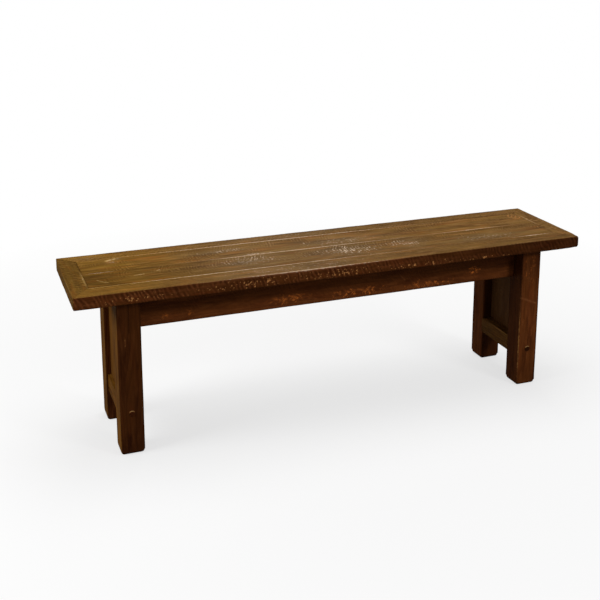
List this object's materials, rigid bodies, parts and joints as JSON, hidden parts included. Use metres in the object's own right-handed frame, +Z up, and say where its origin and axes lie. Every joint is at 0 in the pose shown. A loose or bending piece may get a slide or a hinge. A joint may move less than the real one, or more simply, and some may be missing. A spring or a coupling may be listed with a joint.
{
  "type": "plank bench",
  "caption": "Backless rustic bench: rough-sawn stained planks in a mitred border, on square posts with long aprons, low end rails and closed end panels.",
  "frame": {"origin": "on the floor, in the middle of the bench's length and depth", "axes": "+X along the bench to the right as seen from the front, +Y from front to rear, +Z up"},
  "size_m": [1.524, 0.343, 0.476],
  "materials": {
    "seat_wood": "rough-sawn pine, dark brown stain worn on the saw marks, satin topcoat",
    "frame_wood": "rough-sawn pine, dark red-brown stain, satin topcoat",
    "bearer_wood": "rough-sawn pine, thin brown stain",
    "bare_wood": "planed pine, unfinished",
    "plug_wood": "end grain, dark stain, satin topcoat",
    "zinc_steel": "zinc plated"
  },
  "bodies": {
    "root": {"seat_border_front": "seat_wood", "seat_border_rear": "seat_wood", "seat_border_left": "seat_wood", "seat_border_right": "seat_wood", "seat_plank_front": "seat_wood", "seat_plank_rear": "seat_wood", "leg_front_left": "frame_wood", "leg_front_right": "frame_wood", "leg_rear_left": "frame_wood", "leg_rear_right": "frame_wood", "apron_front": "frame_wood", "apron_rear": "frame_wood", "end_rail_left": "frame_wood", "end_rail_right": "frame_wood", "end_panel_left": "frame_wood", "end_panel_right": "frame_wood", "seat_bearer_left": "bearer_wood", "seat_bearer_middle": "bearer_wood", "seat_bearer_right": "bearer_wood", "mitre_splines": "bare_wood", "plank_spline": "bare_wood", "leg_top_tenons": "bare_wood", "leg_plugs": "plug_wood", "bearer_screws": "zinc_steel", "rail_lag_screws": "zinc_steel", "rail_lag_washers": "zinc_steel"}
  },
  "joints": []
}
